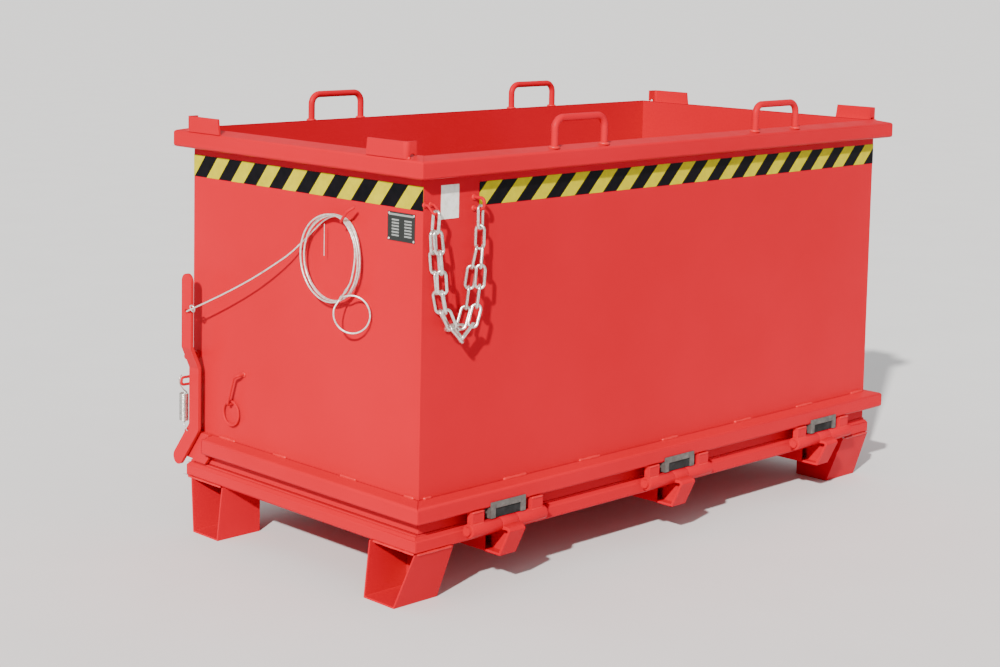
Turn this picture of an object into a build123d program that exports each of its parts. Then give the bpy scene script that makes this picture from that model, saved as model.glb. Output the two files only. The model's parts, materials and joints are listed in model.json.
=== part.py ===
from build123d import *
import math
import os

# Hinged-floor bulk container, made of folded and welded steel sheet.
# Frame: Z up, ground at 0, X along the long side. The hinge side faces -Y, the lever end faces -X.
# Lengths are in millimetres. Heights are above the ground; x and y are from the hopper's centre line,
# which stands XC, YC away from the frame's origin.

HOPPER_LENGTH = 2000
HOPPER_WIDTH = 972
WALL_TOP = 1183
WALL_BOTTOM = 204
SHEET = 3
XC = 9.5
YC = 11.25

HALF_X = HOPPER_LENGTH / 2
HALF_Y = HOPPER_WIDTH / 2

RIM_OUT = 43                 # how far both rims stand out from the walls
STACK_X = 1040               # mid-planes of the stacking strips
STACK_Y = 462
STACK_INNER = 318
STACK_FOOT = 1177.4
RIM_CREST = 1186             # top of the rim above the walls
STACK_TOP = 1222
STACK_HALF = 3
TOP_RIM_FOOT = 1129
BOTTOM_RIM_TOP = 294
BOTTOM_RIM_FOOT = 242

FLOOR_PLATE_BOTTOM = 198
FLOOR_PLATE = 4
FLAP_HALF_X = 1017
FLAP_HALF_Y = 496
FLAP_FRAME_BOTTOM = 154
FRAME_FLANGE = 30
BEAM_X = (-714, 0, 714)      # cross beams, each in line with one hinge
BEAM_HALF = 30
BEAM_BOTTOM = 100
BEAM_WALL = 4

HINGE_Y = -525
HINGE_Z = 193
TUBE_RADIUS = 19
PIN_RADIUS = 12
RUNNING_FIT = 0.05
HINGE_HALF = 142
ARM_HALF = 30
ARM_PLATE = 8

FOOT_INNER_X = 880
FOOT_INNER_Y = 318
FOOT_OUTER_Y = 436
FOOT_OUTER_X = 1036
LATCH_FOOT_TOP = 470         # the latch-side feet stop short of the claws
FOOT_SHEET = 5

EYE_X = 440
EYE_HALF = 100
EYE_BAR = 20
EYE_TOP = 1272

SHAFT_Y = 501
SHAFT_Z = 231
SHAFT_RADIUS = 12
SHAFT_END = 900
LEVER_Y = 438
LEVER_HALF = 22.5
LEVER_BAR = 10
LEVER_TOP = 768
LOWER_LEVER_X = -1029        # mid-plane of the lever's lower half
UPPER_LEVER_X = -1057        # mid-plane of its upper half, past the joggle
CLAW_X = (-600, 0, 600)
BEARING_X = (-300, 300, 880)

CABLE = 5                    # wire rope diameter
CABLE_HOLE = 7.5             # radius of its hole in the lever
CABLE_HOLE_Z = 657
COIL_Y = -157
COIL_Z = 882

LINK_WIRE = 8                # chain, 52 mm pitch
LINK_PITCH = 52
LINK_WIDTH = 31

SIDES = {"hinge_side": (0, -1), "latch_side": (0, 1), "lever_end": (-1, 0), "far_end": (1, 0)}

os.makedirs("parts", exist_ok=True)


def at(x, y, z):
    """A point given from the hopper's centre line, in the part's frame."""
    return (XC + x, YC + y, z)


def level(z):
    """Level sketch plane: local x and y run along the hopper's length and width."""
    return Plane(origin=at(0, 0, z), x_dir=(1, 0, 0), z_dir=(0, 0, 1))


def across(x):
    """Upright plane across the hopper: local x is the hopper's y; it extrudes towards +X."""
    return Plane(origin=at(x, 0, 0), x_dir=(0, 1, 0), z_dir=(1, 0, 0))


def along(y):
    """Upright plane along the hopper: local x is the hopper's x; it extrudes towards -Y."""
    return Plane(origin=at(0, y, 0), x_dir=(1, 0, 0), z_dir=(0, -1, 0))


def keep(piece, name):
    """Label a finished piece and write it out as one node."""
    piece.part.label = name
    export_step(piece.part, f"parts/{name}.step")


def bent_bar(points, radii, diameter):
    """A round bar of straight runs joined by bends."""
    with BuildPart() as bar:
        with BuildLine() as centre:
            FilletPolyline(*points, radius=radii)
        with BuildSketch(Plane(origin=centre.line @ 0, z_dir=centre.line % 0)):
            Circle(diameter / 2)
        sweep()
    return bar


# ---------------------------------------------------------------- hopper walls

def wall_panel(name, x, y, size_x, size_y):
    with BuildPart() as panel:
        with BuildSketch(level(WALL_BOTTOM)):
            with Locations((x, y)):
                Rectangle(size_x, size_y)
        extrude(amount=WALL_TOP - WALL_BOTTOM)
    keep(panel, name)


for side, (out_x, out_y) in SIDES.items():
    if out_y:
        wall_panel(f"wall_{side}", 0, out_y * (HALF_Y - SHEET / 2), HOPPER_LENGTH, SHEET)
    else:
        wall_panel(f"wall_{side}", out_x * (HALF_X - SHEET / 2), 0, SHEET, HOPPER_WIDTH - 2 * SHEET)


# ---------------------------------------------------------------- rims and flap frame

def frame_member(profile, side, half_x, half_y, cut=None):
    """A folded section along one side, mitred into its neighbours. The profile is in (out, up, fold radius),
    with out measured from the face at half_x or half_y. cut is a plan box to take away."""
    out_x, out_y = SIDES[side]
    reach = half_x if out_x else half_y
    run = half_y if out_x else half_x
    spread = 60
    section = Plane(origin=at(out_x * reach, out_y * reach, 0), x_dir=(out_x, out_y, 0), z_dir=(out_y, -out_x, 0))
    plan = Plane(origin=at(0, 0, 0), x_dir=(out_x, out_y, 0), z_dir=(0, 0, 1))
    with BuildPart() as member:
        with BuildSketch(section):
            with BuildLine():
                FilletPolyline(*[(out, up) for out, up, _ in profile], radius=[r for _, _, r in profile], close=True)
            make_face()
        extrude(amount=run + spread, both=True)
        with BuildSketch(plan):
            Polygon(
                (reach - spread, spread - run),
                (reach + spread, -spread - run),
                (reach + spread, spread + run),
                (reach - spread, run - spread),
                align=None,
            )
        extrude(amount=WALL_TOP + spread, mode=Mode.INTERSECT)
        if cut:
            low_x, low_y, high_x, high_y = cut
            with BuildSketch(level(0)):
                with Locations(((low_x + high_x) / 2, (low_y + high_y) / 2)):
                    Rectangle(high_x - low_x, high_y - low_y)
            extrude(amount=WALL_TOP, mode=Mode.SUBTRACT)
    return member


FOLD = 8                     # outside fold radius of the rims and the flap frame
FOLD_INSIDE = FOLD - SHEET

TOP_PROFILE = (
    (-SHEET, WALL_TOP, 0), (0, WALL_TOP, 0), (40, 1173.5, FOLD_INSIDE), (40, TOP_RIM_FOOT + SHEET, FOLD_INSIDE),
    (28, TOP_RIM_FOOT + SHEET, 0), (28, TOP_RIM_FOOT, 0), (RIM_OUT, TOP_RIM_FOOT, FOLD), (RIM_OUT, 1176, FOLD),
    (-SHEET, WALL_TOP + SHEET, 0),
)
LEDGE_PROFILE = (
    (0, BOTTOM_RIM_TOP, 0), (0, 291, 0), (40, 284, FOLD_INSIDE), (40, BOTTOM_RIM_FOOT, 0),
    (RIM_OUT, BOTTOM_RIM_FOOT, 0), (RIM_OUT, 286.5, FOLD),
)
CLOSED_PROFILE = (
    (0, BOTTOM_RIM_TOP, 0), (0, 291, 0), (40, 284, FOLD_INSIDE), (40, 245, FOLD_INSIDE), (3, 245, 0),
    (3, BOTTOM_RIM_FOOT, 0), (RIM_OUT, BOTTOM_RIM_FOOT, FOLD), (RIM_OUT, 286.5, FOLD),
)
FLAP_PROFILE = (
    (0, FLAP_FRAME_BOTTOM, FOLD), (0, 188, FOLD), (-9, FLOOR_PLATE_BOTTOM, FOLD),
    (-FRAME_FLANGE, FLOOR_PLATE_BOTTOM, 0), (-FRAME_FLANGE, 194, 0), (-10.7, 194, FOLD / 2),
    (-4, 186.5, FOLD / 2), (-4, 158, FOLD / 2), (-FRAME_FLANGE, 158, 0), (-FRAME_FLANGE, FLAP_FRAME_BOTTOM, 0),
)
LEVER_GAP = (-1100, 388, -HALF_X, 600)        # room for the lever at its corner

for side in SIDES:
    keep(frame_member(TOP_PROFILE, side, HALF_X, HALF_Y), f"top_rim_{side}")
    bottom = LEDGE_PROFILE if side == "latch_side" else CLOSED_PROFILE
    gap = LEVER_GAP if side in ("latch_side", "lever_end") else None
    keep(frame_member(bottom, side, HALF_X, HALF_Y, gap), f"bottom_rim_{side}")
    keep(frame_member(FLAP_PROFILE, side, FLAP_HALF_X, FLAP_HALF_Y), f"flap_frame_{side}")


# ---------------------------------------------------------------- stacking corners and crane eyes

with BuildPart() as stacking_corners:
    for end in (-1, 1):
        for flank in (-1, 1):
            with BuildSketch(across(end * STACK_X)):
                Polygon(
                    (flank * (STACK_INNER - 6), STACK_FOOT), (flank * (STACK_Y + STACK_HALF), STACK_FOOT),
                    (flank * (STACK_Y + STACK_HALF), STACK_TOP), (flank * STACK_INNER, STACK_TOP),
                    align=None,
                )
            extrude(amount=STACK_HALF, both=True)
            with BuildSketch(along(flank * STACK_Y)):
                Polygon(
                    (end * 1006, RIM_CREST), (end * (STACK_X + STACK_HALF), STACK_FOOT),
                    (end * (STACK_X + STACK_HALF), STACK_TOP), (end * 1006, STACK_TOP),
                    align=None,
                )
                with Locations((end * 1020, 1181)):
                    Circle(10, mode=Mode.SUBTRACT)
            extrude(amount=STACK_HALF, both=True)
    for inset, radius in ((0, 12), (2 * STACK_HALF, 6)):
        folds = [
            edge for edge in stacking_corners.edges().filter_by(Axis.Z)
            if abs(abs(edge.center().X - XC) - STACK_X - STACK_HALF + inset) < 0.1
            and abs(abs(edge.center().Y - YC) - STACK_Y - STACK_HALF + inset) < 0.1
        ]
        fillet(folds, radius)
keep(stacking_corners, "stacking_corners")

eye_number = 0
for flank in (-1, 1):
    for end in (-1, 1):
        eye_number += 1
        eye_y = flank * (HALF_Y + 21)
        eye_foot = WALL_TOP
        eye_crown = EYE_TOP - EYE_BAR / 2
        eye = bent_bar(
            (
                at(end * EYE_X - EYE_HALF, eye_y, eye_foot),
                at(end * EYE_X - EYE_HALF, eye_y, eye_crown),
                at(end * EYE_X + EYE_HALF, eye_y, eye_crown),
                at(end * EYE_X + EYE_HALF, eye_y, eye_foot),
            ),
            30,
            EYE_BAR,
        )
        keep(eye, f"crane_eye_{eye_number}")


# ---------------------------------------------------------------- hinges

for number, hinge_x in enumerate(BEAM_X, 1):
    with BuildPart() as mount:
        for hand in (-1, 1):
            stub_near = ARM_HALF + 2
            with BuildSketch(across(hinge_x + hand * (stub_near + HINGE_HALF) / 2)):
                with Locations((HINGE_Y, HINGE_Z)):
                    Circle(TUBE_RADIUS)
            extrude(amount=(HINGE_HALF - stub_near) / 2, both=True)
            with BuildSketch(across(hinge_x + hand * 112)):
                with Locations((HINGE_Y + 3, (HINGE_Z + BOTTOM_RIM_FOOT) / 2)):
                    Rectangle(20, BOTTOM_RIM_FOOT - HINGE_Z)
            extrude(amount=22, both=True)
        with BuildSketch(across(hinge_x)):
            with Locations((HINGE_Y, HINGE_Z)):
                Circle(PIN_RADIUS)
        extrude(amount=HINGE_HALF, both=True, mode=Mode.SUBTRACT)
    keep(mount, f"hinge_mount_{number}")

    with BuildPart() as arm:
        with BuildSketch(across(hinge_x)) as cheek:
            Polygon((-519, 168), (-553, 172), (-529, 112), (-487, 112), align=None)
        extrude(amount=ARM_HALF - 3, both=True)
        add(cheek.sketch)
        extrude(amount=ARM_HALF - 9, both=True, mode=Mode.SUBTRACT)
        with BuildSketch(across(hinge_x)):
            Polygon(
                (-FLAP_HALF_Y, 186), (-530, 189.5), (-554, 189.5), (-561, 188), (-566, 184.5), (-568.5, 179.5),
                (-533, 106), (-475, 106), (-475, 113), (-528, 113), (-559, 177), (-557, 180.5), (-FLAP_HALF_Y, 178),
                align=None,
            )
        extrude(amount=ARM_HALF, both=True)
        with BuildSketch(across(hinge_x)):
            Polygon(
                (-FLAP_HALF_Y, 180), (-557, 180), (-529, 112), (-475, 112), (-475, FLAP_FRAME_BOTTOM),
                (-FLAP_HALF_Y, FLAP_FRAME_BOTTOM),
                align=None,
            )
        extrude(amount=ARM_PLATE / 2, both=True)
        with BuildSketch(across(hinge_x)):
            with Locations((HINGE_Y, HINGE_Z)):
                Circle(TUBE_RADIUS)
        extrude(amount=ARM_HALF, both=True)
        with BuildSketch(across(hinge_x)):
            with Locations((HINGE_Y, HINGE_Z)):
                Circle(PIN_RADIUS + RUNNING_FIT)
        extrude(amount=ARM_HALF, both=True, mode=Mode.SUBTRACT)
    keep(arm, f"hinge_arm_{number}")

with BuildPart() as hinge_pins:
    for hinge_x in BEAM_X:
        with BuildSketch(across(hinge_x)):
            with Locations((HINGE_Y, HINGE_Z)):
                Circle(PIN_RADIUS)
        extrude(amount=HINGE_HALF + 8, both=True)
keep(hinge_pins, "hinge_pins")


# ---------------------------------------------------------------- opening buffers

BUFFER_HALF = 66
BUFFER_FOOT = 213.5
RIM_FACE_Y = -(HALF_Y + RIM_OUT)

with BuildPart() as buffer_frames:
    for hinge_x in BEAM_X:
        with BuildSketch(along(RIM_FACE_Y)):
            with Locations((hinge_x, (BUFFER_FOOT + 257) / 2)):
                Rectangle(2 * BUFFER_HALF, 257 - BUFFER_FOOT)
            with Locations((hinge_x, (BUFFER_FOOT + 239) / 2)):
                Rectangle(2 * BUFFER_HALF - 36, 239 - BUFFER_FOOT, mode=Mode.SUBTRACT)
        extrude(amount=4)
        with BuildSketch(along(RIM_FACE_Y)):
            for hand in (-1, 1):
                with Locations((hinge_x + hand * (BUFFER_HALF - 2), (BUFFER_FOOT + BOTTOM_RIM_FOOT) / 2)):
                    Rectangle(4, BOTTOM_RIM_FOOT - BUFFER_FOOT)
        extrude(amount=-24)
keep(buffer_frames, "buffer_frames")

with BuildPart() as rubber_buffers:
    for hinge_x in BEAM_X:
        with BuildSketch(along(RIM_FACE_Y)):
            with Locations((hinge_x, (BUFFER_FOOT + BOTTOM_RIM_FOOT) / 2)):
                Rectangle(2 * BUFFER_HALF - 8, BOTTOM_RIM_FOOT - BUFFER_FOOT)
        extrude(amount=-20)
keep(rubber_buffers, "rubber_buffers")


# ---------------------------------------------------------------- tape, plate and label

TAPE_LOW = 1044
TAPE_HIGH = 1106
TAPE = 0.6

with BuildPart() as hazard_tape:
    for side, (out_x, out_y) in SIDES.items():
        half = HALF_Y if out_x else HALF_X
        start = 800 if side == "hinge_side" else half
        face = at(out_x * HALF_X, out_y * HALF_Y, 0)
        with BuildSketch(Plane(origin=face, x_dir=(-out_y, out_x, 0), z_dir=(out_x, out_y, 0))):
            with Locations(((half - start) / 2, (TAPE_LOW + TAPE_HIGH) / 2)):
                Rectangle(half + start, TAPE_HIGH - TAPE_LOW)
        extrude(amount=TAPE)
keep(hazard_tape, "hazard_tape")

with BuildPart() as data_plate:
    with BuildSketch(across(-HALF_X)):
        with Locations((-405.5, 994.5)):
            Rectangle(103, 75)
    extrude(amount=-1)
keep(data_plate, "data_plate")

with BuildPart() as blank_label:
    with BuildSketch(along(-HALF_Y)):
        with Locations((-906, 1062)):
            Rectangle(64, 88)
    extrude(amount=0.5)
keep(blank_label, "blank_label")


# ---------------------------------------------------------------- hook fittings on the walls

keep(
    bent_bar(
        (at(-997, -HALF_Y, 1060), at(-997, -500, 1060), at(-997, -522, 1040),
         at(-975, -522, 1040), at(-975, -500, 1060), at(-975, -HALF_Y, 1060)),
        5,
        7,
    ),
    "chain_staple",
)
keep(
    bent_bar(
        (at(-820, -HALF_Y, 1068), at(-820, -525, 1068), at(-820, -525, 1039), at(-820, -HALF_Y, 1039)),
        12,
        9,
    ),
    "chain_hook",
)
keep(
    bent_bar(
        (at(-HALF_X, -213.6, 988.4), at(-1042, -213.6, 988.4), at(-1042, -240, 1020), at(-1028, -254, 1032)),
        8,
        8,
    ),
    "cable_hook",
)
keep(
    bent_bar(
        (at(-HALF_X, 244, 497), at(-1022, 244, 497), at(-1022, 266, 486), at(-1022, 294, 404), at(-1003, 294, 404)),
        7,
        8,
    ),
    "ring_hook",
)
keep(
    bent_bar(
        (at(-HALF_X, 476, 455), at(-1050, 476, 455), at(-1050, 476, 433.5), at(-HALF_X, 476, 433.5)),
        8,
        8,
    ),
    "spring_eye",
)

with BuildPart() as lever_stop:
    with BuildSketch(across(-HALF_X)):
        with Locations((470, 518)):
            Circle(9)
    extrude(amount=-40)
    chamfer(lever_stop.edges().filter_by(GeomType.CIRCLE).group_by(Axis.X)[0], 1.5)
keep(lever_stop, "lever_stop")


# ---------------------------------------------------------------- chain

def chain_strand(points, leans):
    """Placing planes for a strand's links: local x along the link, local z square to its face.
    leans gives the first links' turns from the wall; the rest lean 45 degrees to either side of it."""
    with BuildLine() as strand:
        Spline(*[at(*point) for point in points])
    count = round(strand.wire().length / LINK_PITCH)
    joints = [strand.line @ (step / count) for step in range(count + 1)]
    outward = Vector(0, -1, 0)
    planes = []
    lean = 0
    for step in range(count):
        run = joints[step + 1] - joints[step]
        middle = (joints[step + 1] + joints[step]) * 0.5
        square = outward - run.normalized() * outward.dot(run.normalized())
        lean = leans[step] if step < len(leans) else -math.copysign(45, lean)
        face = square.rotate(Axis((0, 0, 0), run), lean)
        planes.append(Plane(origin=middle, x_dir=run, z_dir=face))
    return planes


with BuildPart() as chain_link:
    straight = (LINK_PITCH + 2 * LINK_WIRE - LINK_WIDTH) / 2
    bend = (LINK_WIDTH - LINK_WIRE) / 2
    with BuildLine() as loop:
        Line((-straight, -bend), (straight, -bend))
        ThreePointArc((straight, -bend), (straight + bend, 0), (straight, bend))
        Line((straight, bend), (-straight, bend))
        ThreePointArc((-straight, bend), (-straight - bend, 0), (-straight, -bend))
    with BuildSketch(Plane(origin=(0, -bend, 0), z_dir=(1, 0, 0))):
        Circle(LINK_WIRE / 2 - 0.1)
    sweep(path=loop.wire())

STAPLE_STRAND = ((-987, -522, 1044), (-986, -518, 1018), (-984, -514, 992))
BACK_STRAND = (
    (-986, -508, 992), (-977, -504, 930), (-967, -502, 865), (-955, -502, 800), (-925, -502, 745),
    (-890, -502, 722), (-866, -502, 752), (-852, -502, 812), (-843, -504, 872), (-830, -509, 940),
)
FRONT_STRAND = (
    (-982, -522, 992), (-981, -530, 935), (-977, -534, 872), (-968, -535, 805), (-942, -535, 752),
    (-906, -535, 710), (-872, -535, 735), (-848, -533, 790), (-834, -529, 865), (-818, -519, 940),
)
HOOK_STRAND = ((-820, -511, 1044.5), (-821, -512, 992), (-824, -514, 940))

with BuildPart() as chain_links:
    for strand_points, leans in (
        (STAPLE_STRAND, (90,)),
        (BACK_STRAND, (-15, 60, -40)),
        (FRONT_STRAND, (15, -60, 40)),
        (HOOK_STRAND, (-15, 60)),
    ):
        for link_plane in chain_strand(strand_points, leans):
            with Locations(link_plane.location):
                add(chain_link.part)
keep(chain_links, "chain_links")


# ---------------------------------------------------------------- latch

BEARING_PLATE_X = -1018

with BuildPart() as bearing_plate:
    with BuildSketch(across(BEARING_PLATE_X)):
        Polygon(
            (388, 296), (478, 296), (522, 238), (522, 212), (466, 212), (466, 206), (405, 206), (388, 226),
            align=None,
        )
        with Locations((SHAFT_Y, SHAFT_Z)):
            Circle(SHAFT_RADIUS + RUNNING_FIT, mode=Mode.SUBTRACT)
    extrude(amount=LEVER_BAR)
    with BuildSketch(level(290)):
        with Locations(((BEARING_PLATE_X - HALF_X) / 2, (388 + 476) / 2)):
            Rectangle(-HALF_X - BEARING_PLATE_X, 476 - 388)
    extrude(amount=6)
keep(bearing_plate, "bearing_plate")

with BuildPart() as shaft_bearings:
    for bearing_x in BEARING_X:
        with BuildSketch(across(bearing_x)):
            Polygon((HALF_Y, 214), (526, 214), (526, 277), (519, 284.8), (HALF_Y, 290.8), align=None)
            with Locations((SHAFT_Y, SHAFT_Z)):
                Circle(SHAFT_RADIUS + RUNNING_FIT, mode=Mode.SUBTRACT)
        extrude(amount=6, both=True)
keep(shaft_bearings, "shaft_bearings")

with BuildPart() as latch_shaft:
    with BuildSketch(across(LOWER_LEVER_X + LEVER_BAR / 2)):
        with Locations((SHAFT_Y, SHAFT_Z)):
            Circle(SHAFT_RADIUS)
    extrude(amount=SHAFT_END - LOWER_LEVER_X - LEVER_BAR / 2)
keep(latch_shaft, "latch_shaft")

LEG_END = (515, 210)
LEG_TOP = (LEVER_Y, 312)

with BuildPart() as latch_lever:
    half = LEVER_BAR / 2
    with BuildSketch(along(LEG_END[0] + 2 * LEVER_HALF)):
        Polygon(
            (LOWER_LEVER_X - half, 150), (LOWER_LEVER_X + half, 150), (LOWER_LEVER_X + half, 492),
            (UPPER_LEVER_X + half, 555), (UPPER_LEVER_X + half, LEVER_TOP), (UPPER_LEVER_X - half, LEVER_TOP),
            (UPPER_LEVER_X - half, 551), (LOWER_LEVER_X - half, 488),
            align=None,
        )
    extrude(amount=200)
    with BuildSketch(across(UPPER_LEVER_X - 2 * LEVER_BAR)):
        with Locations((LEVER_Y, (LEG_TOP[1] + LEVER_TOP - LEVER_HALF) / 2)):
            Rectangle(2 * LEVER_HALF, LEVER_TOP - LEVER_HALF - LEG_TOP[1])
        with Locations((LEVER_Y, LEVER_TOP - LEVER_HALF), LEG_TOP, LEG_END):
            Circle(LEVER_HALF)
        slope = math.atan2(LEG_END[1] - LEG_TOP[1], LEG_END[0] - LEG_TOP[0])
        side_y = LEVER_HALF * math.sin(slope)
        side_z = LEVER_HALF * math.cos(slope)
        Polygon(
            (LEG_TOP[0] - side_y, LEG_TOP[1] + side_z), (LEG_END[0] - side_y, LEG_END[1] + side_z),
            (LEG_END[0] + side_y, LEG_END[1] - side_z), (LEG_TOP[0] + side_y, LEG_TOP[1] - side_z),
            align=None,
        )
        with Locations((LEVER_Y, CABLE_HOLE_Z)):
            Circle(CABLE_HOLE, mode=Mode.SUBTRACT)
        with Locations((466, 300)):
            Circle(3, mode=Mode.SUBTRACT)
    extrude(amount=60, mode=Mode.INTERSECT)
keep(latch_lever, "latch_lever")

with BuildPart() as latch_claws:
    for claw_x in CLAW_X:
        with BuildSketch(across(claw_x)):
            with Locations((SHAFT_Y, SHAFT_Z)):
                Circle(14)
            Polygon((499.5, SHAFT_Z), (515, SHAFT_Z), (520, 220), (520, 138), (499.5, 138), align=None)
            Polygon((478, 142), (482, 138), (500, 138), (500, 152), (478, 152), align=None)
            with Locations((SHAFT_Y, SHAFT_Z)):
                Circle(SHAFT_RADIUS, mode=Mode.SUBTRACT)
        extrude(amount=6, both=True)
keep(latch_claws, "latch_claws")

SPRING_X = -1041
SPRING_Y = 476
SPRING_FOOT = 328
SPRING_HEAD = 408

with BuildPart() as latch_spring:
    with BuildSketch(level(SPRING_FOOT)):
        with Locations((SPRING_X, SPRING_Y)):
            Circle(14)
            Circle(10, mode=Mode.SUBTRACT)
    extrude(amount=SPRING_HEAD - SPRING_FOOT)
    for low, high in ((304, SPRING_FOOT), (SPRING_HEAD - 2, 427)):
        with BuildSketch(level(low)):
            with Locations((SPRING_X, SPRING_Y)):
                Circle(1.6)
        extrude(amount=high - low)
    for end_z in (SPRING_FOOT, SPRING_HEAD - 4):
        with BuildSketch(level(end_z)):
            with Locations((SPRING_X, SPRING_Y)):
                Circle(11)
        extrude(amount=4)
keep(latch_spring, "latch_spring")


# ---------------------------------------------------------------- pull ring

PEG_Z = 404
RING_CENTRE = (-1008, 294, PEG_Z + 4.4 - 31.5)

with BuildPart() as pull_ring:
    with BuildSketch(Plane(origin=at(*RING_CENTRE), x_dir=(1, 0, 0), z_dir=(0, -1, 0))):
        with Locations((0, 35)):
            Circle(3.5)
    revolve(axis=Axis(at(*RING_CENTRE), (1, 0, 0)))
keep(pull_ring, "pull_ring")


# ---------------------------------------------------------------- flap floor, beams and feet

with BuildPart() as flap_floor:
    with BuildSketch(level(FLOOR_PLATE_BOTTOM)):
        Rectangle(2 * (FLAP_HALF_X - 10), 2 * (FLAP_HALF_Y - 10))
    extrude(amount=FLOOR_PLATE)
keep(flap_floor, "flap_floor")

with BuildPart() as cross_beams:
    for beam_x in BEAM_X:
        inside = FLAP_HALF_Y - FRAME_FLANGE
        with BuildSketch(across(beam_x)):
            Polygon(
                (-475, BEAM_BOTTOM + 6), (470, BEAM_BOTTOM), (470, FLAP_FRAME_BOTTOM), (inside, FLAP_FRAME_BOTTOM),
                (inside, FLOOR_PLATE_BOTTOM), (-inside, FLOOR_PLATE_BOTTOM), (-inside, FLAP_FRAME_BOTTOM),
                (-475, FLAP_FRAME_BOTTOM),
                align=None,
            )
        extrude(amount=BEAM_HALF, both=True)
        with BuildSketch(along(480)):
            with Locations((beam_x, (BEAM_BOTTOM + 6 + FLOOR_PLATE_BOTTOM) / 2)):
                Rectangle(2 * (BEAM_HALF - BEAM_WALL), FLOOR_PLATE_BOTTOM - BEAM_BOTTOM - 6 - 2 * BEAM_WALL)
        extrude(amount=960, mode=Mode.SUBTRACT)
keep(cross_beams, "cross_beams")

foot_number = 0
for flank, top_y in ((-1, FLAP_HALF_Y), (1, LATCH_FOOT_TOP)):
    frame_inside = FLAP_HALF_Y - FRAME_FLANGE
    for end in (-1, 1):
        foot_number += 1
        with BuildPart() as foot:
            with BuildSketch(across(end * FOOT_INNER_X)):
                Polygon(
                    (flank * FOOT_INNER_Y, FLOOR_PLATE_BOTTOM), (flank * FOOT_INNER_Y, 0),
                    (flank * FOOT_OUTER_Y, 0), (flank * top_y, FLAP_FRAME_BOTTOM),
                    (flank * (top_y - 5.4), FLAP_FRAME_BOTTOM), (flank * 432.6, FOOT_SHEET),
                    (flank * (FOOT_INNER_Y + FOOT_SHEET), FOOT_SHEET),
                    (flank * (FOOT_INNER_Y + FOOT_SHEET), FLOOR_PLATE_BOTTOM),
                    align=None,
                )
            extrude(amount=end * 180)
            with BuildSketch(across(end * FOOT_INNER_X)):
                Polygon(
                    (flank * 321, FLOOR_PLATE_BOTTOM), (flank * 321, 3), (flank * 434, 3),
                    (flank * (top_y - 3), FLAP_FRAME_BOTTOM), (flank * frame_inside, FLAP_FRAME_BOTTOM),
                    (flank * frame_inside, FLOOR_PLATE_BOTTOM),
                    align=None,
                )
            extrude(amount=end * FOOT_SHEET)
            with BuildSketch(along(0)):
                Polygon(
                    (end * FOOT_INNER_X, 0), (end * FOOT_OUTER_X, 0), (end * 1019, FLAP_FRAME_BOTTOM),
                    (end * 986, FLAP_FRAME_BOTTOM), (end * 986, FLOOR_PLATE_BOTTOM),
                    (end * FOOT_INNER_X, FLOOR_PLATE_BOTTOM),
                    align=None,
                )
            extrude(amount=600, both=True, mode=Mode.INTERSECT)
        keep(foot, f"foot_{foot_number}")


# ---------------------------------------------------------------- cable

CABLE_LEAD = (
    (-1057, 438, 657), (-1067, 431, 659), (-1072, 414, 665), (-1072, 381, 679), (-1069, 322, 705),
    (-1065, 254, 736), (-1060, 188, 768), (-1053, 124, 802), (-1045, 64, 838), (-1031, 9, 875),
    (-1020, -30, 911),
)


def tube_radii(points):
    """Bend radii of a cable's tube, each as large as its two runs allow."""
    vectors = [Vector(*point) for point in points]
    radii = []
    for before, corner, after in zip(vectors, vectors[1:], vectors[2:]):
        arriving = corner - before
        leaving = after - corner
        half_turn = math.radians(arriving.get_angle(leaving)) / 2
        radii.append(0.45 * min(arriving.length, leaving.length) / math.tan(half_turn))
    return radii


lead_radii = tube_radii(CABLE_LEAD)
print("cable lead radii", [round(radius, 1) for radius in lead_radii])
cable_lead = bent_bar([at(*point) for point in CABLE_LEAD], lead_radii, CABLE)
keep(cable_lead, "cable_lead")


def coil_outline(base, pinch, width):
    """Closed outline of the coil, drawn in to one side at its hook, in (hopper y, height)."""
    hook_angle = 62
    outline = []
    for step in range(24):
        angle = 15 * step
        away = (angle - hook_angle + 180) % 360 - 180
        radius = base + pinch * math.exp(-((away / width) ** 2))
        outline.append(
            (COIL_Y - radius * math.cos(math.radians(angle)), COIL_Z + radius * math.sin(math.radians(angle)))
        )
    return outline


with BuildPart() as cable_coil:
    with BuildSketch(across(-1035)):
        with BuildLine():
            Spline(*coil_outline(124, 12, 22), periodic=True)
        make_face()
        with BuildLine():
            Spline(*coil_outline(97, 28, 30), periodic=True)
        make_face(mode=Mode.SUBTRACT)
    extrude(amount=24)
keep(cable_coil, "cable_coil")

LOOP_TURN = 32               # the end loop stands out from the wall by this angle
LOOP_CENTRE = (-1038, -260, 750)
LOOP_RADIUS = 52

with BuildPart() as cable_loop:
    turn = math.radians(LOOP_TURN)
    loop_face = (-math.cos(turn), -math.sin(turn), 0)
    loop_plane = Plane(origin=at(*LOOP_CENTRE), x_dir=(0, 0, 1), z_dir=loop_face)
    with BuildSketch(Plane(origin=loop_plane.origin, x_dir=(0, 0, 1), z_dir=loop_plane.y_dir)):
        with Locations((LOOP_RADIUS, 0)):
            Circle(CABLE / 2)
    revolve(axis=Axis(loop_plane.origin, loop_face))
keep(cable_loop, "cable_loop")

with BuildPart() as cable_ferrules:
    for middle, length in (((-1043, -242, 811), 16), ((-1043, -223, 791), 12)):
        with BuildSketch(Plane(origin=at(*middle), z_dir=(0, 0.6, -0.8))):
            Circle(4.5)
        extrude(amount=length / 2, both=True)
keep(cable_ferrules, "cable_ferrules")

with BuildPart() as cable_tie:
    with BuildSketch(level(888)):
        with Locations((-1024, -129)):
            Circle(1)
    extrude(amount=86)
keep(cable_tie, "cable_tie")
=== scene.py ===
import json
import math
import random

import bpy
from mathutils import Matrix, Vector


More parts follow.
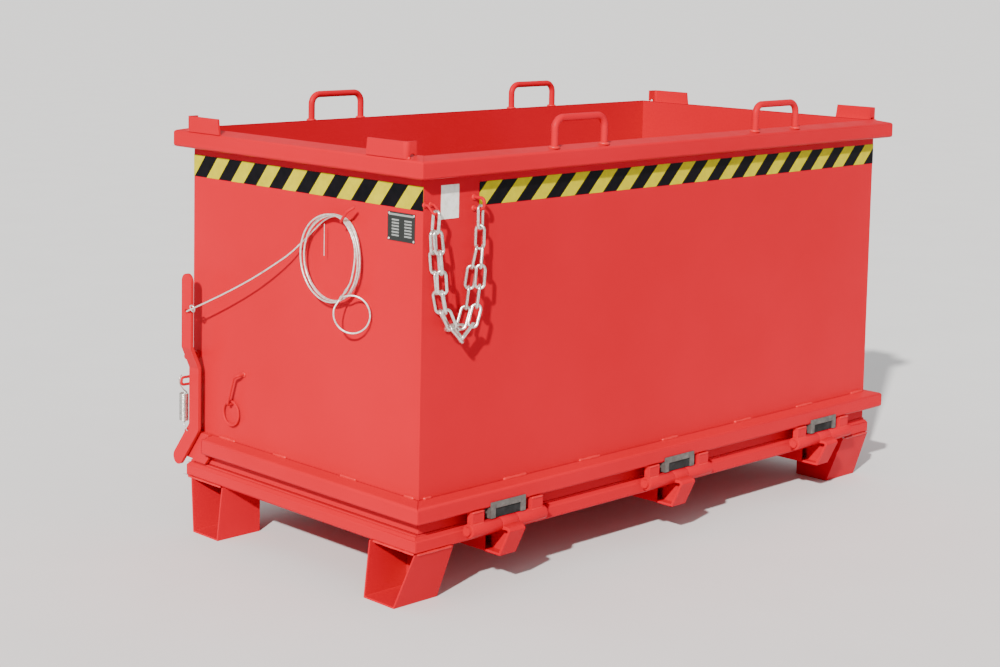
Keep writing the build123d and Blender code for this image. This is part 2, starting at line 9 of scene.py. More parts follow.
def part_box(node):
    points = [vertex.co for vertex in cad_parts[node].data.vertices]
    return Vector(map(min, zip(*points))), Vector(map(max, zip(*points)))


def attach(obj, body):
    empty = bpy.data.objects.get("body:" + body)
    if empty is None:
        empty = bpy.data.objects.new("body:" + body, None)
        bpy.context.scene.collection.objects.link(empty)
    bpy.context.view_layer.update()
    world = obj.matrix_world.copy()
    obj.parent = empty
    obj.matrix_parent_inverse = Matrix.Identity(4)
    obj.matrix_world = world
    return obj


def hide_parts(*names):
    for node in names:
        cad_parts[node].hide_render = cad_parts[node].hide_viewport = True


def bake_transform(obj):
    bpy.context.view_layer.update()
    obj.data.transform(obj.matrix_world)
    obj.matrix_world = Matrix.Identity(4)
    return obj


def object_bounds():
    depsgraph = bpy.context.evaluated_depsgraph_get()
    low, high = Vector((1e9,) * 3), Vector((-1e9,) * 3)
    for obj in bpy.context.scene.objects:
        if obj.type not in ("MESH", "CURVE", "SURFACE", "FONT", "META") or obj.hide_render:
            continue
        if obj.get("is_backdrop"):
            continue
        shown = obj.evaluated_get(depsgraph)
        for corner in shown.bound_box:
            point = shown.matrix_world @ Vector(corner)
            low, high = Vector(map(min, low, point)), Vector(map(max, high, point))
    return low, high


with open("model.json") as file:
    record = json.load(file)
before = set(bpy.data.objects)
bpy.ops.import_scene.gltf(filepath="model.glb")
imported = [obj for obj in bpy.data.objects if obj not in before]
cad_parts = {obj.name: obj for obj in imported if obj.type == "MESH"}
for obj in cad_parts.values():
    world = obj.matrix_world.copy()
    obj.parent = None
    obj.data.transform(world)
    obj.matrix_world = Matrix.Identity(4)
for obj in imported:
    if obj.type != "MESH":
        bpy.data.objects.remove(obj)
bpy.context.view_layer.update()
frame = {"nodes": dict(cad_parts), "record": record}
NODES = frame["nodes"]

MM = 0.001
floor_low, floor_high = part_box("flap_floor")
HOPPER = Vector(((floor_low.x + floor_high.x) / 2, (floor_low.y + floor_high.y) / 2, 0))
HALF_X = round((HOPPER.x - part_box("wall_lever_end")[0].x) / MM, 3)
HALF_Y = round((HOPPER.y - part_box("wall_hinge_side")[0].y) / MM, 3)


def at(x, y, z):
    """A point given in millimetres from the hopper's centre line, in the row frame."""
    return HOPPER + Vector((x, y, z)) * MM


# ---------------------------------------------------------------- camera

def make_camera():
    pan, tilt, roll = math.radians(42.63), math.radians(5.73), math.radians(0.86)
    ahead = Vector((math.sin(pan) * math.cos(tilt), math.cos(pan) * math.cos(tilt), -math.sin(tilt)))
    level_right = Vector((math.cos(pan), -math.sin(pan), 0))
    level_up = level_right.cross(ahead)
    right = level_right * math.cos(roll) + level_up * math.sin(roll)
    up = level_up * math.cos(roll) - level_right * math.sin(roll)
    data = bpy.data.cameras.new("camera")
    data.sensor_width = 36
    data.lens = 68.43
    data.shift_x = 0.1
    data.shift_y = -0.1835
    data.clip_end = 1000
    camera = bpy.data.objects.new("camera", data)
    turn = Matrix((right, up, -ahead)).transposed().to_4x4()
    camera.matrix_world = Matrix.Translation(at(-4279.8, -3958.9, 1678.8)) @ turn
    bpy.context.scene.collection.objects.link(camera)
    bpy.context.scene.camera = camera


make_camera()


# ---------------------------------------------------------------- mesh helpers

def new_mesh(name, vertices, faces, smooth=True):
    mesh = bpy.data.meshes.new(name)
    mesh.from_pydata([tuple(v) for v in vertices], [], faces)
    mesh.validate()
    if smooth:
        for polygon in mesh.polygons:
            polygon.use_smooth = True
    piece = bpy.data.objects.new(name, mesh)
    bpy.context.scene.collection.objects.link(piece)
    return piece


def route_points(points, resolution=10):
    """The smooth line of a cord: points read from a NURBS spline that has the given control points."""
    curve = bpy.data.curves.new("route", "CURVE")
    curve.dimensions = "3D"
    curve.resolution_u = resolution
    spline = curve.splines.new("NURBS")
    spline.points.add(len(points) - 1)
    for point, place in zip(spline.points, points):
        point.co = (*place, 1)
    spline.order_u = 3
    spline.use_endpoint_u = True
    holder = bpy.data.objects.new("route", curve)
    bpy.context.scene.collection.objects.link(holder)
    bpy.context.view_layer.update()
    mesh = bpy.data.meshes.new_from_object(holder.evaluated_get(bpy.context.evaluated_depsgraph_get()))
    line = [v.co.copy() for v in mesh.vertices]
    bpy.data.objects.remove(holder)
    bpy.data.curves.remove(curve)
    bpy.data.meshes.remove(mesh)
    return line


def line_length(line):
    return sum((b - a).length for a, b in zip(line, line[1:]))


def tube(name, line, radius, sides=12, closed=False):
    """A tube along a line. radius(travel, angle) gives its radius in metres."""
    count = len(line)
    tangents = []
    for i in range(count):
        before = line[i - 1] if i or closed else line[0]
        after = line[(i + 1) % count] if i + 1 < count or closed else line[-1]
        tangents.append((after - before).normalized())
    side = tangents[0].orthogonal().normalized()
    vertices, faces, travel = [], [], 0.0
    for i in range(count):
        if i:
            side = tangents[i - 1].rotation_difference(tangents[i]) @ side
            travel += (line[i] - line[i - 1]).length
        side = (side - tangents[i] * side.dot(tangents[i])).normalized()
        other = tangents[i].cross(side)
        for k in range(sides):
            angle = 2 * math.pi * k / sides
            out = side * math.cos(angle) + other * math.sin(angle)
            vertices.append(line[i] + out * radius(travel, angle))
    rings = count if closed else count - 1
    for i in range(rings):
        for k in range(sides):
            a, b = i * sides + k, i * sides + (k + 1) % sides
            c, d = ((i + 1) % count) * sides + (k + 1) % sides, ((i + 1) % count) * sides + k
            faces.append((a, b, c, d))
    if not closed:
        faces.append(tuple(reversed(range(sides))))
        faces.append(tuple((count - 1) * sides + k for k in range(sides)))
    return new_mesh(name, vertices, faces)


# ---------------------------------------------------------------- lever cable

CABLE = 5 * MM
CABLE_LEAD = (
    (-1057, 438, 657), (-1067, 431, 659), (-1072, 414, 665), (-1072, 381, 679), (-1069, 322, 705),
    (-1065, 254, 736), (-1060, 188, 768), (-1053, 124, 802), (-1045, 64, 838), (-1031, 9, 875),
    (-1020, -30, 911),
)
COIL_Y = -157
COIL_Z = 882
COIL_START = 136             # degrees, counted from the coil's -Y side over its top
COIL_STEP = 24
COIL_STEPS = 50
TURN_RADII = (106, 119, 111, 121)
HOOK_ANGLE = 62
CABLE_TAIL = (
    (-1040, -261, 842), (-1043, -247, 818), (-1043, -239, 808), (-1043, -229, 797), (-1045, -220, 786),
    (-1053, -217, 775),
)
LOOP_END = (-1046, -226, 794)
LOOP_CENTRE = (-1038, -260, 750)
LOOP_RADIUS = 52
LOOP_TURN = math.radians(32)


def coil_point(step):
    """Point of the hank: its turns differ in size and are drawn together over the hook."""
    angle = COIL_START - COIL_STEP * step
    turn = step * COIL_STEP / 360
    base = TURN_RADII[int(turn) % 4]
    following = TURN_RADII[(int(turn) + 1) % 4]
    base += (following - base) * (turn % 1)
    away = (angle - HOOK_ANGLE + 180) % 360 - 180
    radius = base + (129 - base) * math.exp(-((away / 32) ** 2))
    y = COIL_Y - radius * math.cos(math.radians(angle))
    z = COIL_Z + radius * math.sin(math.radians(angle))
    return (-1014 - 6.3 * turn, y, z)


def loop_point(angle):
    """Point of the end loop, whose face is turned out from the wall."""
    turned = math.radians(angle)
    x = LOOP_CENTRE[0] + LOOP_RADIUS * math.cos(turned) * math.sin(LOOP_TURN)
    y = LOOP_CENTRE[1] - LOOP_RADIUS * math.cos(turned) * math.cos(LOOP_TURN)
    return (x, y, LOOP_CENTRE[2] + LOOP_RADIUS * math.sin(turned))


def make_cable():
    points = [at(*p) for p in CABLE_LEAD]
    points += [at(*coil_point(step)) for step in range(COIL_STEPS + 1)]
    points += [at(*p) for p in CABLE_TAIL]
    points += [at(*loop_point(angle)) for angle in range(170, 481, 31)]
    points.append(at(*LOOP_END))
    line = route_points(points)
    lay = 32 * MM

    def strands(travel, angle):
        return CABLE / 2 * (0.86 + 0.14 * abs(math.cos(3 * (angle - 2 * math.pi * travel / lay))))

    cable = tube("lever_cable", line, strands, sides=18)
    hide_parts("cable_lead", "cable_coil", "cable_loop")
    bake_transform(cable)
    return cable


lever_cable = make_cable()


CABLE_EYE = (-1072, 394, 674)         # centre of the small ring round the cable
CABLE_EYE_RADIUS = 9.5
CABLE_EYE_LEAN = 3.15                 # how far its top leans out from the wall
CABLE_EYE_WIRE = 2.3


def make_cable_eye():
    ring = []
    for angle in range(0, 360, 12):
        across, up = math.cos(math.radians(angle)), math.sin(math.radians(angle))
        ring.append(at(CABLE_EYE[0] - CABLE_EYE_LEAN * up, CABLE_EYE[1] + CABLE_EYE_RADIUS * across,
                       CABLE_EYE[2] + CABLE_EYE_RADIUS * up))
    eye = tube("cable_eye", ring, lambda travel, angle: CABLE_EYE_WIRE * MM, sides=12, closed=True)
    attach(eye, "latch")
    return eye


lever_cable_eye = make_cable_eye()


# ---------------------------------------------------------------- materials

class Shade:
    """A node material: short helpers around one Principled shader."""

    def __init__(self, name):
        self.material = bpy.data.materials.new(name)
        self.material.use_nodes = True
        self.tree = self.material.node_tree
        self.shader = self.tree.nodes["Principled BSDF"]
        self.place = self.add("ShaderNodeTexCoord").outputs["Object"]

    def add(self, kind, **values):
        node = self.tree.nodes.new(kind)
        for key, value in values.items():
            setattr(node, key, value)
        return node

    def join(self, output, socket):
        self.tree.links.new(output, socket)

    def set(self, **values):
        for key, value in values.items():
            self.shader.inputs[key.replace("_", " ")].default_value = value

    def noise(self, scale, detail=2.0, roughness=0.5):
        node = self.add("ShaderNodeTexNoise")
        node.inputs["Scale"].default_value = scale
        node.inputs["Detail"].default_value = detail
        node.inputs["Roughness"].default_value = roughness
        self.join(self.place, node.inputs["Vector"])
        return node.outputs["Fac"]

    def ramp(self, value, stops):
        node = self.add("ShaderNodeValToRGB")
        elements = node.color_ramp.elements
        while len(elements) < len(stops):
            elements.new(0.5)
        for element, (position, colour) in zip(elements, stops):
            element.position = position
            element.color = (*colour, 1) if len(colour) == 3 else colour
        self.join(value, node.inputs["Fac"])
        return node.outputs["Color"]

    def span(self, value, low, high, to_low, to_high):
        node = self.add("ShaderNodeMapRange")
        for key, number in (("From Min", low), ("From Max", high), ("To Min", to_low), ("To Max", to_high)):
            node.inputs[key].default_value = number
        self.join(value, node.inputs["Value"])
        return node.outputs["Result"]

    def math(self, operation, first, second=None):
        node = self.add("ShaderNodeMath", operation=operation)
        for socket, value in zip(node.inputs, (first, second)):
            if value is None:
                continue
            if isinstance(value, (int, float)):
                socket.default_value = value
            else:
                self.join(value, socket)
        return node.outputs[0]

    def mix(self, share, first, second):
        node = self.add("ShaderNodeMix", data_type="RGBA")
        self.join(share, node.inputs["Factor"])
        colours = [s for s in node.inputs if s.type == "RGBA"]
        for socket, value in zip(colours, (first, second)):
            if isinstance(value, tuple):
                socket.default_value = (*value, 1)
            else:
                self.join(value, socket)
        return [s for s in node.outputs if s.type == "RGBA"][0]

    def bump(self, layers):
        """layers: (height, depth in metres) pairs, stacked."""
        normal = None
        for height, depth in layers:
            node = self.add("ShaderNodeBump")
            node.inputs["Strength"].default_value = 1
            node.inputs["Distance"].default_value = depth
            self.join(height, node.inputs["Height"])
            if normal:
                self.join(normal, node.inputs["Normal"])
            normal = node.outputs["Normal"]
        self.join(normal, self.shader.inputs["Normal"])

    def axes(self):
        node = self.add("ShaderNodeSeparateXYZ")
        self.join(self.place, node.inputs[0])
        return node.outputs


def red_paint():
    """Gloss enamel on sheet steel: slow tone drift, orange peel, pale scuffs and a little dust."""
    shade = Shade("red_paint")
    drift = shade.noise(1.6, detail=4)
    base = shade.ramp(drift, ((0.3, (0.50, 0.0005, 0.0120)), (0.7, (0.56, 0.0008, 0.0160))))
    specks = shade.noise(95, detail=3, roughness=0.7)
    clouds = shade.noise(5.5, detail=3)
    marked = shade.span(specks, 0.70, 0.78, 0, 1)
    scuffs = shade.math("MULTIPLY", marked, shade.span(clouds, 0.58, 0.70, 0, 0.5))
    shade.join(shade.mix(scuffs, base, (0.62, 0.12, 0.13)), shade.shader.inputs["Base Color"])
    fog = shade.noise(14, detail=5, roughness=0.6)
    shade.join(shade.span(fog, 0.3, 0.7, 0.30, 0.44), shade.shader.inputs["Roughness"])
    shade.bump(((shade.noise(420, detail=2), 0.00006), (shade.noise(2.3, detail=1), 0.0016)))
    shade.set(Specular_IOR_Level=0.05)
    return shade.material


def weld_paint():
    shade = Shade("weld_paint")
    drift = shade.noise(60, detail=4)
    base = shade.ramp(drift, ((0.3, (0.55, 0.0008, 0.010)), (0.75, (0.64, 0.003, 0.016))))
    shade.join(base, shade.shader.inputs["Base Color"])
    shade.bump(((shade.noise(700, detail=3), 0.0002),))
    shade.set(Roughness=0.33, Specular_IOR_Level=0.3)
    return shade.material


def zinc():
    """Bright zinc: cool metal with dull patches and fine spangle."""
    shade = Shade("zinc_plate")
    patches = shade.noise(120, detail=4, roughness=0.65)
    base = shade.ramp(patches, (
        (0.3, (0.50, 0.47, 0.43)), (0.55, (0.80, 0.78, 0.74)), (0.8, (0.93, 0.92, 0.90)),
    ))
    shade.join(base, shade.shader.inputs["Base Color"])
    shade.join(shade.span(patches, 0.3, 0.7, 0.36, 0.20), shade.shader.inputs["Roughness"])
    shade.bump(((shade.noise(900, detail=3), 0.00008),))
    shade.set(Metallic=0.92)
    return shade.material


def rope_steel():
    shade = Shade("wire_rope")
    grime = shade.noise(160, detail=4, roughness=0.6)
    base = shade.ramp(grime, (
        (0.3, (0.46, 0.43, 0.38)), (0.5, (0.80, 0.77, 0.72)), (0.75, (0.90, 0.88, 0.85)),
    ))
    shade.join(base, shade.shader.inputs["Base Color"])
    shade.join(shade.span(grime, 0.3, 0.7, 0.45, 0.28), shade.shader.inputs["Roughness"])
    shade.bump(((shade.noise(2200, detail=2), 0.00012),))
    shade.set(Metallic=0.6, Coat_Weight=0.5, Coat_Roughness=0.15)
    return shade.material


def dull_steel():
    shade = Shade("bare_steel")
    marks = shade.noise(70, detail=5, roughness=0.65)
    base = shade.ramp(marks, (
        (0.3, (0.09, 0.085, 0.08)), (0.6, (0.15, 0.14, 0.13)), (0.8, (0.24, 0.22, 0.21)),
    ))
    shade.join(base, shade.shader.inputs["Base Color"])
    shade.join(shade.span(marks, 0.3, 0.7, 0.62, 0.42), shade.shader.inputs["Roughness"])
    shade.bump(((shade.noise(600, detail=3), 0.0001),))
    shade.set(Metallic=0.45)
    return shade.material


def rubber():
    shade = Shade("buffer_rubber")
    bloom = shade.noise(45, detail=5, roughness=0.6)
    base = shade.ramp(bloom, ((0.35, (0.010, 0.011, 0.011)), (0.75, (0.035, 0.036, 0.037))))
    shade.join(base, shade.shader.inputs["Base Color"])
    shade.join(shade.span(bloom, 0.3, 0.7, 0.72, 0.88), shade.shader.inputs["Roughness"])
    shade.bump(((shade.noise(1200, detail=3), 0.00018),))
    shade.set(Specular_IOR_Level=0.2)
    return shade.material


STRIPE_PITCH = 0.115


def hazard_film():
    """Slanting yellow and black stripes, placed separately on the long walls and on the ends."""
    shade = Shade("hazard_film")
    x, y, z = shade.axes()
    geometry = shade.add("ShaderNodeNewGeometry")
    split = shade.add("ShaderNodeSeparateXYZ")
    shade.join(geometry.outputs["Normal"], split.inputs[0])
    on_end = shade.math("GREATER_THAN", shade.math("ABSOLUTE", split.outputs["X"]), 0.5)
    rise = shade.math("SUBTRACT", z, 1.0495)
    long_face = shade.math("SUBTRACT", shade.math("SUBTRACT", x, HOPPER.x - 0.7708), rise)
    lean = shade.math("MULTIPLY", rise, 0.81)
    end_face = shade.math("SUBTRACT", shade.math("SUBTRACT", HOPPER.y - 0.4423, y), lean)
    end_share = shade.math("MULTIPLY", end_face, on_end)
    long_share = shade.math("MULTIPLY", long_face, shade.math("SUBTRACT", 1.0, on_end))
    phase = shade.math("ADD", end_share, long_share)
    past_zero = shade.math("ADD", phase, 50 * STRIPE_PITCH)
    stripe = shade.math("FRACT", shade.math("DIVIDE", past_zero, STRIPE_PITCH))
    yellow_here = shade.math("GREATER_THAN", stripe, 0.5)
    soil = shade.noise(38, detail=5, roughness=0.6)
    yellow = shade.ramp(soil, ((0.3, (0.45, 0.39, 0.0005)), (0.7, (0.56, 0.49, 0.001))))
    black = shade.ramp(soil, ((0.3, (0.002, 0.002, 0.003)), (0.7, (0.006, 0.005, 0.007))))
    shade.join(shade.mix(yellow_here, black, yellow), shade.shader.inputs["Base Color"])
    shade.join(shade.span(soil, 0.3, 0.7, 0.32, 0.48), shade.shader.inputs["Roughness"])
    shade.bump(((shade.noise(260, detail=2), 0.00006),))
    shade.set(Specular_IOR_Level=0.05)
    return shade.material


def label_film():
    shade = Shade("label_film")
    stain = shade.noise(70, detail=5, roughness=0.7)
    base = shade.ramp(stain, ((0.3, (0.66, 0.66, 0.58)), (0.6, (0.86, 0.86, 0.82))))
    shade.join(base, shade.shader.inputs["Base Color"])
    shade.bump(((shade.noise(300, detail=2), 0.00008),))
    shade.set(Roughness=0.5)
    return shade.material


def plate_black():
    shade = Shade("plate_black")
    wear = shade.noise(240, detail=5, roughness=0.7)
    base = shade.ramp(wear, ((0.3, (0.008, 0.010, 0.009)), (0.8, (0.030, 0.034, 0.032))))
    shade.join(base, shade.shader.inputs["Base Color"])
    shade.join(shade.span(wear, 0.3, 0.7, 0.35, 0.5), shade.shader.inputs["Roughness"])
    shade.bump(((shade.noise(700, detail=2), 0.00005),))
    shade.set(Metallic=0.3)
    return shade.material


def plate_fields():
    shade = Shade("plate_fields")
    wear = shade.noise(500, detail=4)
    base = shade.ramp(wear, ((0.3, (0.18, 0.20, 0.19)), (0.7, (0.42, 0.44, 0.43))))
    shade.join(base, shade.shader.inputs["Base Color"])
    shade.set(Roughness=0.5, Metallic=0.3)
    return shade.material


MATERIALS = {
    "red_paint": red_paint(), "zinc_plate": zinc(), "wire_rope": rope_steel(), "bare_steel": dull_steel(),
    "buffer_rubber": rubber(), "hazard_film": hazard_film(), "label_film": label_film(),
    "plate_black": plate_black(),
}
WELD_PAINT = weld_paint()
PLATE_FIELDS = plate_fields()


def dress(piece, material):
    piece.data.materials.clear()
    piece.data.materials.append(material)


SLOT_OF = {entry["node"]: entry["material_slot"] for entry in frame["record"]["subparts"]}
for name, node in NODES.items():
    dress(node, MATERIALS[SLOT_OF[name]])
dress(lever_cable, MATERIALS["wire_rope"])
dress(lever_cable_eye, MATERIALS["zinc_plate"])

ROLLED_EDGE = {                       # bend or cut-edge radius shown on sheet and plate, in millimetres
    "top_rim": 2.5, "bottom_rim": 2.5, "flap_frame": 2.5, "stacking_corners": 2.0, "foot": 2.0,
    "hinge_arm": 2.0, "hinge_mount": 1.5, "latch_lever": 1.2, "bearing_plate": 1.0, "latch_claws": 1.0,
    "cross_beams": 3.0, "buffer_frames": 1.0, "rubber_buffers": 2.0, "wall": 0.8,
}
for name, node in NODES.items():
    for start, radius in ROLLED_EDGE.items():
        if name.startswith(start):
            weld = node.modifiers.new("join", "WELD")
            weld.merge_threshold = 0.00001
            bevel = node.modifiers.new("edges", "BEVEL")
            bevel.width = radius * MM
            bevel.segments = 3
            bevel.limit_method = "ANGLE"
            bevel.angle_limit = math.radians(28)
            bevel.harden_normals = True


# ---------------------------------------------------------------- welds

rng = random.Random(7)


def bead_line(start, end, step=2.2):
    start, end = at(*start), at(*end)
    count = max(4, round((end - start).length / (step * MM)))
    return [start.lerp(end, i / count) for i in range(count + 1)]


def make_bead(name, line, size, body, closed=False):
    """A weld run: overlapping ripples, uneven in width, fading at both ends."""
    total = line_length(line)
    ripple = 3.6 * MM
    waves = [rng.uniform(0, 6.28) for _ in range(3)]

    def radius(travel, angle):
        fade = 1.0 if closed else min(1.0, 0.35 + min(travel, total - travel) / (6 * MM))
        scallop = 1 + 0.10 * math.cos(2 * math.pi * travel / ripple + 1.3 * math.cos(angle))
        wander = 1 + 0.10 * math.sin(travel * 95 + waves[0]) + 0.06 * math.sin(travel * 231 + waves[1])
        return size * MM * fade * scallop * wander

    bead = tube(name, line, radius, sides=10, closed=closed)
    dress(bead, WELD_PAINT)
    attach(bead, body)
    return bead


def ring_line(centre, radius, axis="z", count=36):
    points = []
    for k in range(count):
        a, b = radius * math.cos(2 * math.pi * k / count), radius * math.sin(2 * math.pi * k / count)
        offset = {"z": (a, b, 0), "y": (a, 0, b), "x": (0, a, b)}[axis]
        points.append(at(*(c + o for c, o in zip(centre, offset))))
    return points


RIM_WELD_Z = 295
EYE_WELD_Z = 1183
FRAME_WELD_Z = 153.5                   # along the lower edge of the flap frame
EYE_BAR_HALF = 10
LONG_WELDS = ((-985, -955), (-690, -600), (-388, -300), (-29, 44), (311, 395), (627, 712), (925, 992))
END_WELDS = ((358, 282), (108, 51), (-179, -244), (-432, -470))
for number, (low, high) in enumerate(LONG_WELDS, 1):
    for side, name in ((-1, "hinge_side"), (1, "latch_side")):
        y = side * (HALF_Y + 1.5)
        line = bead_line((low, y, RIM_WELD_Z), (high, y, RIM_WELD_Z))
        make_bead(f"rim_weld_{name}_{number}", line, 4.6, "container")
for number, (low, high) in enumerate(END_WELDS, 1):
    for side, name in ((-1, "lever_end"), (1, "far_end")):
        x = side * (HALF_X + 1.5)
        line = bead_line((x, low, RIM_WELD_Z), (x, high, RIM_WELD_Z))
        make_bead(f"rim_weld_{name}_{number}", line, 4.6, "container")

for number in range(1, 5):
    low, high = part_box(f"crane_eye_{number}")
    for end, place in (("a", low.x), ("b", high.x)):
        inward = EYE_BAR_HALF * MM if end == "a" else -EYE_BAR_HALF * MM
        foot = (Vector((place + inward, (low.y + high.y) / 2, 0)) - HOPPER) / MM
        line = ring_line((foot.x, foot.y, EYE_WELD_Z), EYE_BAR_HALF + 1)
        make_bead(f"eye_weld_{number}{end}", line, 4.4, "container", closed=True)

for end in (-1, 1):
    for flank in (-1, 1):
        tag = f"{'n' if end < 0 else 'f'}{'h' if flank < 0 else 'l'}"
        line = bead_line((end * 1036, flank * 316, 1178), (end * 1036, flank * 458, 1178))
        make_bead(f"corner_weld_{tag}", line, 3.0, "container")
        for spot in (1012, 1034):
            line = bead_line((end * (spot - 5), flank * 467, 1180), (end * (spot + 5), flank * 467, 1179))
            make_bead(f"corner_tack_{tag}_{spot}", line, 4.2, "container")
        line = bead_line((end * 886, flank * 496, FRAME_WELD_Z), (end * 1012, flank * 496, FRAME_WELD_Z))
        make_bead(f"foot_weld_{tag}", line, 3.2, "flap")
        line = bead_line((end * 1016, flank * 330, FRAME_WELD_Z), (end * 1016, flank * 488, FRAME_WELD_Z))
        make_bead(f"foot_end_weld_{tag}", line, 3.2, "flap")

for number in range(1, 4):
    low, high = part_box(f"hinge_arm_{number}")
    hinge_x = round(((low.x + high.x) / 2 - HOPPER.x) / MM, 3)
    for hand in (-1, 1):
        near, far = hinge_x + hand * 90, hinge_x + hand * 134
        tag = f"{number}{'a' if hand < 0 else 'b'}"
        make_bead(f"lug_weld_{tag}", bead_line((near, -531.5, 241), (far, -531.5, 241)), 3.0, "container")
        line = bead_line((near, -532.5, 209), (far, -532.5, 209))
        make_bead(f"lug_foot_weld_{tag}", line, 2.6, "container")
        make_bead(f"arm_weld_{tag}",
                  bead_line((hinge_x + hand * 28, -497, 185), (hinge_x + hand * 6, -497, 185)), 2.8, "flap")

WALL_FITTINGS = (
    ("staple_weld_a", (-997, -487, 1060), 4, "y"), ("staple_weld_b", (-975, -487, 1060), 4, "y"),
    ("hook_weld_a", (-820, -487, 1068), 5, "y"), ("hook_weld_b", (-820, -487, 1039), 5, "y"),
    ("cable_hook_weld", (-1001, -213.6, 988.4), 4.6, "x"), ("ring_hook_weld", (-1001, 244, 497), 4.6, "x"),
    ("spring_eye_weld_a", (-1001, 476, 455), 4.6, "x"), ("spring_eye_weld_b", (-1001, 476, 433.5), 4.6, "x"),
    ("lever_stop_weld", (-1001, 470, 518), 9.5, "x"),
)
for name, centre, radius, axis in WALL_FITTINGS:
    make_bead(name, ring_line(centre, radius, axis, 24), 3.0, "container", closed=True)


# ---------------------------------------------------------------- latch spring

def make_spring():
    """Close-wound pull spring: upper hook round the wall eye, lower hook through the lever."""
    wire, radius = 1.6, 12.4
    low, high, coils = 328, 408, 23
    centre_x, centre_y = -1041, 476
    points = [(-1049, centre_y, 463), (-1058, centre_y, 457), (-1059, centre_y, 445), (-1053, centre_y, 431),
              (-1042, centre_y, 418)]
    steps = 16
    for k in range(coils * steps + 1):
        angle = 2 * math.pi * k / steps
        points.append((centre_x + radius * math.cos(angle), centre_y + radius * math.sin(angle),
                       high - (high - low) * k / (coils * steps)))
    points += [(-1041, 478, 320), (-1040, 472, 309), (-1038, 466, 299), (-1034, 465, 296), (-1029, 466, 300)]
    line = route_points([at(*p) for p in points], resolution=4)
    spring = tube("return_spring", line, lambda travel, angle: wire * MM, sides=10)
    dress(spring, MATERIALS["zinc_plate"])
    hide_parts("latch_spring")
    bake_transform(spring)


make_spring()


# ---------------------------------------------------------------- plate fields and small fittings

def slab(name, centre, size):
    """A blank field of the data plate, with rounded corners. size is (width, height, thickness)."""
    width, height, thick = size
    corner = min(width, height) * 0.18
    outline = []
    for quarter, (cy, cz) in enumerate(((1, 1), (-1, 1), (-1, -1), (1, -1))):
        for k in range(5):
            angle = math.pi / 2 * (quarter + k / 4)
            outline.append((cy * (width / 2 - corner) + corner * math.cos(angle),
                            cz * (height / 2 - corner) + corner * math.sin(angle)))
    count = len(outline)
    vertices = [at(centre[0] + x, centre[1] + y, centre[2] + z) for x in (0, -thick) for y, z in outline]
    faces = [tuple(range(count)), tuple(reversed(range(count, 2 * count)))]
    faces += [(k, k + count, (k + 1) % count + count, (k + 1) % count) for k in range(count)]
    piece = new_mesh(name, vertices, faces, smooth=False)
    dress(piece, PLATE_FIELDS)
    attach(piece, "container")
    return piece


PLATE_Y, PLATE_Z, PLATE_FACE = -405.5, 994.5, -1001
FIELD_DEPTH = 0.3
slab("plate_heading", (PLATE_FACE, PLATE_Y, PLATE_Z + 31), (92, 5, FIELD_DEPTH))
for column, offset in (("a", 22), ("b", -26)):
    for row in range(6):
        centre = (PLATE_FACE, PLATE_Y + offset, PLATE_Z + 17 - 8 * row)
        slab(f"plate_field_{column}{row}", centre, (27, 4.2, FIELD_DEPTH))


RIVET_RADIUS = 3.4
RIVET_HEIGHT = 1.8


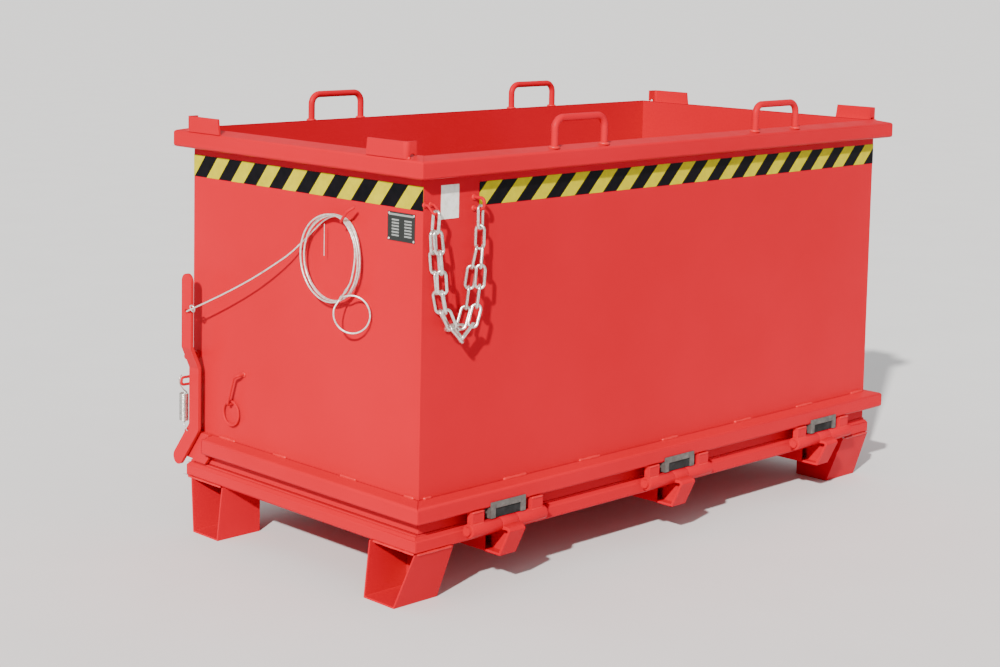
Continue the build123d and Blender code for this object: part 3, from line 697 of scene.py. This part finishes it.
def rivet(name, centre):
    """A low domed rivet head on the lever end wall."""
    rings, sides, vertices, faces = 5, 20, [], []
    for ring in range(rings):
        angle = math.pi / 2 * ring / rings
        for k in range(sides):
            turn = 2 * math.pi * k / sides
            reach = RIVET_RADIUS * math.cos(angle)
            vertices.append(at(centre[0] - RIVET_HEIGHT * math.sin(angle), centre[1] + reach * math.cos(turn),
                               centre[2] + reach * math.sin(turn)))
    vertices.append(at(centre[0] - RIVET_HEIGHT, centre[1], centre[2]))
    for ring in range(rings - 1):
        for k in range(sides):
            faces.append((ring * sides + k, ring * sides + (k + 1) % sides,
                          (ring + 1) * sides + (k + 1) % sides, (ring + 1) * sides + k))
    top = (rings - 1) * sides
    faces += [(top + k, top + (k + 1) % sides, len(vertices) - 1) for k in range(sides)]
    piece = new_mesh(name, vertices, faces)
    dress(piece, MATERIALS["zinc_plate"])
    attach(piece, "container")


for number, (dy, dz) in enumerate(((-47, -33), (47, -33), (-47, 33), (47, 33)), 1):
    rivet(f"plate_rivet_{number}", (PLATE_FACE, PLATE_Y + dy, PLATE_Z + dz))


# ---------------------------------------------------------------- stage and light

def make_stage():
    size = 400
    floor = new_mesh("stage_floor", [(-size, -size, 0), (size, -size, 0), (size, size, 0), (-size, size, 0)],
                     [(0, 1, 2, 3)], smooth=False)
    shade = Shade("stage_floor")
    grain = shade.noise(3, detail=4)
    base = shade.ramp(grain, ((0.3, (0.73, 0.73, 0.73)), (0.7, (0.75, 0.75, 0.75))))
    shade.join(base, shade.shader.inputs["Base Color"])
    shade.set(Roughness=0.9)
    dress(floor, shade.material)
    floor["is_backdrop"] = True


make_stage()


def make_light():
    world = bpy.data.worlds.new("studio")
    bpy.context.scene.world = world
    world.use_nodes = True
    background = world.node_tree.nodes["Background"]
    place = world.node_tree.nodes.new("ShaderNodeTexCoord")
    split = world.node_tree.nodes.new("ShaderNodeSeparateXYZ")
    rise = world.node_tree.nodes.new("ShaderNodeMapRange")
    rise.inputs["To Min"].default_value = 0.15
    rise.inputs["To Max"].default_value = 1.1
    links = world.node_tree.links
    links.new(place.outputs["Generated"], split.inputs[0])
    links.new(split.outputs["Z"], rise.inputs["Value"])
    links.new(rise.outputs["Result"], background.inputs["Strength"])
    background.inputs["Color"].default_value = (1, 1, 1, 1)
    data = bpy.data.lights.new("key", "SUN")
    data.energy = 7.0
    data.angle = math.radians(1.6)
    data.color = (1.0, 0.97, 0.93)
    key = bpy.data.objects.new("key", data)
    travel = Vector((0.747, 0.427, -0.508))
    key.rotation_mode = "QUATERNION"
    key.rotation_quaternion = travel.to_track_quat("-Z", "Y")
    bpy.context.scene.collection.objects.link(key)


make_light()

low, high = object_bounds()
